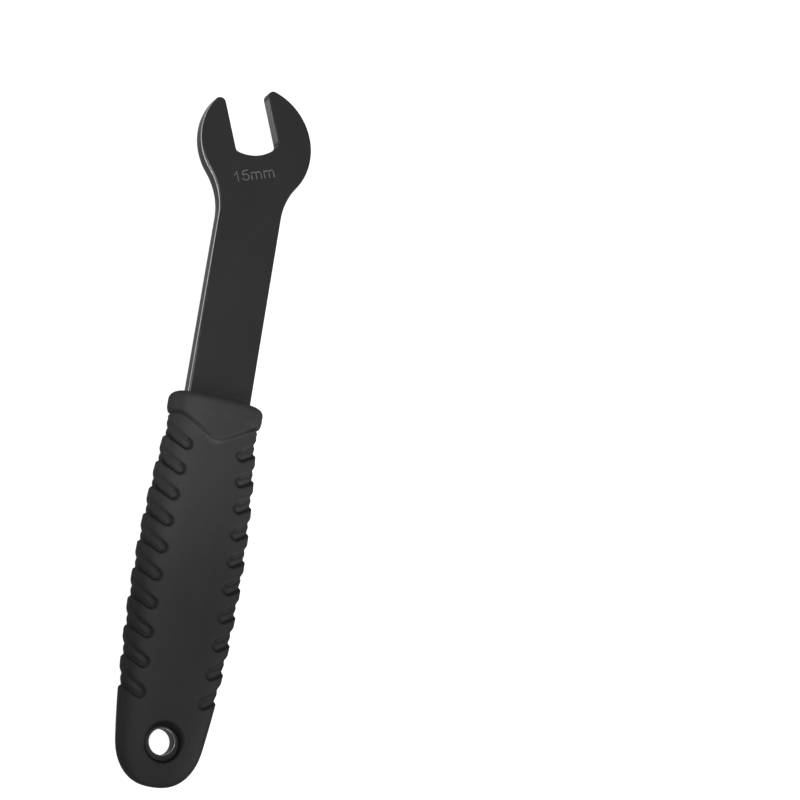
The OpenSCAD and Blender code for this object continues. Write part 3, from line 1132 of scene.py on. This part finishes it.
    def pocket(self) -> np.ndarray:
        """Points of the pocket that holds the tang: its rounded section, then its round end."""
        half_w, half_t = self.plate.shank_width / 2, self.plate.thickness / 2
        edge = self.plate.outer_edge
        unit = self.unit_section()
        flat_y = np.clip(unit[:, 0] / self.face_share, -1.0, 1.0) * self.window_x
        side = np.abs(unit[:, 0]) > self.face_share + 1e-9
        turn = np.linspace(-1.0, 1.0, self.side_cells + 1)[1:-1]
        level = np.clip(turn * 1.6, -1.0, 1.0) * half_t
        reach = self.window_x + (half_w - self.window_x) * np.clip((1.0 - np.abs(turn)) / 0.375, 0.0, 1.0)
        corner = np.clip(np.abs(level) - (half_t - edge), 0.0, edge)
        fall = edge - np.sqrt(edge ** 2 - corner ** 2)
        reach = np.where(reach > half_w - edge, np.minimum(reach, half_w - fall), reach)
        y, z = flat_y.copy(), np.sign(unit[:, 1]) * half_t
        places = np.nonzero(side & (unit[:, 0] > 0))[0]
        y[places], z[places] = reach, level
        places = np.nonzero(side & (unit[:, 0] < 0))[0]
        y[places], z[places] = -reach[::-1], level[::-1]
        turn = np.radians(np.linspace(0.0, math.degrees(math.acos(self.window_x / half_w)), 10))
        end = -half_w * np.cos(turn)
        window = np.linspace(-self.window_x, self.window_x, self.face_cells + 1)
        x = np.concatenate([end[:-1], window, np.linspace(self.window_x, self.mouth_x, 12)[1:]])
        scale = np.where(x < 0, np.sqrt(np.clip(half_w ** 2 - x ** 2, 0.0, None)) / half_w, 1.0)
        points = np.stack([np.repeat(x[:, None], len(unit), 1), scale[:, None] * y[None], np.repeat(z[None], len(x), 0)],
                          -1)
        return points

    def build(self) -> bpy.types.Object:
        """Builds the grip as one closed mesh with its pocket and round opening."""
        shell = Shell()
        # depth holds the painted shade mask of the outside
        outer, depth = self.outer_skin()
        near = 26
        rows = slice(near, near + self.face_cells)
        over = self.window(shell, outer, depth, rows, "rim", self.open_radius, True)
        inner = self.pocket()
        rows = slice(9, 9 + self.face_cells)
        under = self.window(shell, inner, np.zeros(inner.shape[:2]), rows, "flat", self.open_radius, False)
        columns = outer.shape[1]
        pole = np.concatenate([outer[0], [[outer[0, 0, 0], 0.0, 0.0]]])
        j = np.arange(columns)
        fan = np.stack([(j + 1) % columns, j, np.full(columns, columns)], -1)
        shell.add(pole, [fan])
        mouth = np.stack([outer[-1], inner[-1]])
        shell.add(mouth, [grid_faces(2, columns)[:, ::-1]])
        for face in Face:
            # the opening's wall gets full painted shade
            wall = np.stack([over[face], under[face]])
            quads = grid_faces(2, wall.shape[1])
            a, b, c = (wall.reshape(-1, 3)[quads[:, i]] for i in (0, 1, 2))
            inward = (np.cross(b - a, c - a) * (a * [1, 1, 0])).sum() < 0
            shell.add(wall, [quads if inward else quads[:, ::-1]], 1.0)
        return shell.build("rubber_grip", 60.0)


# ------------------------------------------------------------------- studio


@dataclass
class SoftLight:
    """A rectangular lamp that looks at a point."""

    name: str
    place: tuple[float, float, float]
    aim: tuple[float, float, float]
    length: float
    width: float
    power: float

    def build(self) -> None:
        """Adds the lamp to the scene, its length level."""
        data = bpy.data.lights.new(self.name, "AREA")
        data.shape = "RECTANGLE"
        data.size, data.size_y, data.energy = self.length, self.width, self.power
        lamp = bpy.data.objects.new(self.name, data)
        lamp.location = Vector(self.place)
        lamp.rotation_euler = (Vector(self.aim) - Vector(self.place)).to_track_quat("-Z", "Y").to_euler()
        lamp.visible_camera = False
        bpy.context.scene.collection.objects.link(lamp)


@dataclass
class Studio:
    """Pale floor, soft lamps, plain world and the camera."""

    floor_z: float = -0.00758
    floor_half: float = 3.0
    floor_tone: float = 0.3
    floor_glow: float = 0.95
    floor_gloss: float = 0.07
    world_level: float = 0.1
    world_gloss: float = 0.04
    lens: float = 100.0
    eye: tuple[float, float, float] = (-0.057823, 0.201943, 0.648986)
    turn: tuple[float, float, float, float] = (0.752853, -0.063307, -0.21737, -0.618026)
    lamps: tuple[SoftLight, ...] = (
        SoftLight("key_light", (-0.65, 0.05, 0.52), (0.09, 0.0, 0.0), 0.4, 0.4, 3.0),
        SoftLight("side_light", (-0.10, -0.66, 0.38), (0.09, 0.0, 0.0), 0.4, 0.4, 3.3),
        SoftLight("top_light", (0.10, 0.10, 0.95), (0.09, 0.0, 0.0), 0.2, 0.2, 1.3),
        SoftLight("collar_light", (0.14, 0.08, 0.40), (0.12, 0.0, 0.0), 0.16, 0.16, 1.1),
        SoftLight("strip_light", (0.16, 0.40, 0.035), (0.12, 0.0, 0.0), 0.6, 0.05, 0.6),
    )

    def seen(self, tree: bpy.types.NodeTree, gloss: float) -> bpy.types.NodeSocket:
        """How far a ray should find the background white.

        Args:
            tree: the tree that gets the nodes.
            gloss: the share of white that glossy rays find.

        Returns:
            A socket with 1 for camera and transmission rays, the gloss share
            for glossy rays and 0 for the others.
        """
        rays = tree.nodes.new("ShaderNodeLightPath")
        plain = math_node(tree, "ADD", rays.outputs["Is Camera Ray"], rays.outputs["Is Transmission Ray"])
        return math_node(tree, "MULTIPLY_ADD", rays.outputs["Is Glossy Ray"], gloss, plain)

    def floor(self) -> None:
        """Adds the floor: white to the camera and to gloss, but still shadowed."""
        data = bpy.data.meshes.new("floor")
        h = self.floor_half
        data.from_pydata([(-h, -h, self.floor_z), (h, -h, self.floor_z), (h, h, self.floor_z), (-h, h, self.floor_z)],
                         [], [(0, 1, 2, 3)])
        made = bpy.data.objects.new("floor", data)
        bpy.context.scene.collection.objects.link(made)
        material = bpy.data.materials.new("pale_floor")
        material.use_nodes = True
        tree = material.node_tree
        tree.nodes.clear()
        out = tree.nodes.new("ShaderNodeOutputMaterial")
        matte = tree.nodes.new("ShaderNodeBsdfDiffuse")
        matte.inputs["Color"].default_value = (self.floor_tone,) * 3 + (1.0,)
        glow = tree.nodes.new("ShaderNodeEmission")
        tree.links.new(math_node(tree, "MULTIPLY", self.seen(tree, self.floor_gloss), self.floor_glow), glow.inputs["Strength"])
        both = tree.nodes.new("ShaderNodeAddShader")
        tree.links.new(matte.outputs[0], both.inputs[0])
        tree.links.new(glow.outputs[0], both.inputs[1])
        tree.links.new(both.outputs[0], out.inputs["Surface"])
        data.materials.append(material)

    def world(self) -> None:
        """Sets an even world, white where the camera or gloss sees it."""
        world = bpy.data.worlds.new("studio_air")
        world.use_nodes = True
        tree = world.node_tree
        level = math_node(tree, "MULTIPLY_ADD", self.seen(tree, self.world_gloss), 1.0 - self.world_level,
                          self.world_level)
        background = tree.nodes["Background"]
        background.inputs["Color"].default_value = (1.0, 1.0, 1.0, 1.0)
        tree.links.new(level, background.inputs["Strength"])
        bpy.context.scene.world = world

    def camera(self) -> None:
        """Adds the camera at the photograph's viewing angle."""
        data = bpy.data.cameras.new("camera")
        data.lens, data.sensor_width = self.lens, 36.0
        data.clip_start, data.clip_end = 0.01, 20.0
        made = bpy.data.objects.new("camera", data)
        made.location = Vector(self.eye)
        made.rotation_mode = "QUATERNION"
        made.rotation_quaternion = Quaternion(self.turn)
        bpy.context.scene.collection.objects.link(made)
        bpy.context.scene.camera = made

    def build(self) -> None:
        """Sets up the whole studio."""
        self.camera()
        self.floor()
        self.world()
        for lamp in self.lamps:
            lamp.build()
        bpy.context.scene.view_settings.view_transform = "Standard"


# --------------------------------------------------------------------- main


def main() -> None:
    """Builds the studio and every piece, and hands each to its body."""
    logging.basicConfig(level=logging.INFO, format="%(name)s: %(message)s")
    Studio().build()
    effects = Effects()
    plate = SteelPlate()
    steel = plate.build()
    steel.data.materials.append(CoatedSteel().material(effects))
    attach(steel, "root")
    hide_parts("blade")
    mark = SizeMark(plate).build()
    mark.data.materials.append(EtchedMark().material(effects))
    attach(mark, "root")
    grip = RubberGrip(plate).build()
    grip.data.materials.append(MouldedRubber().material(effects))
    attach(grip, "root")
    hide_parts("grip")


if __name__ == "__main__":
    main()
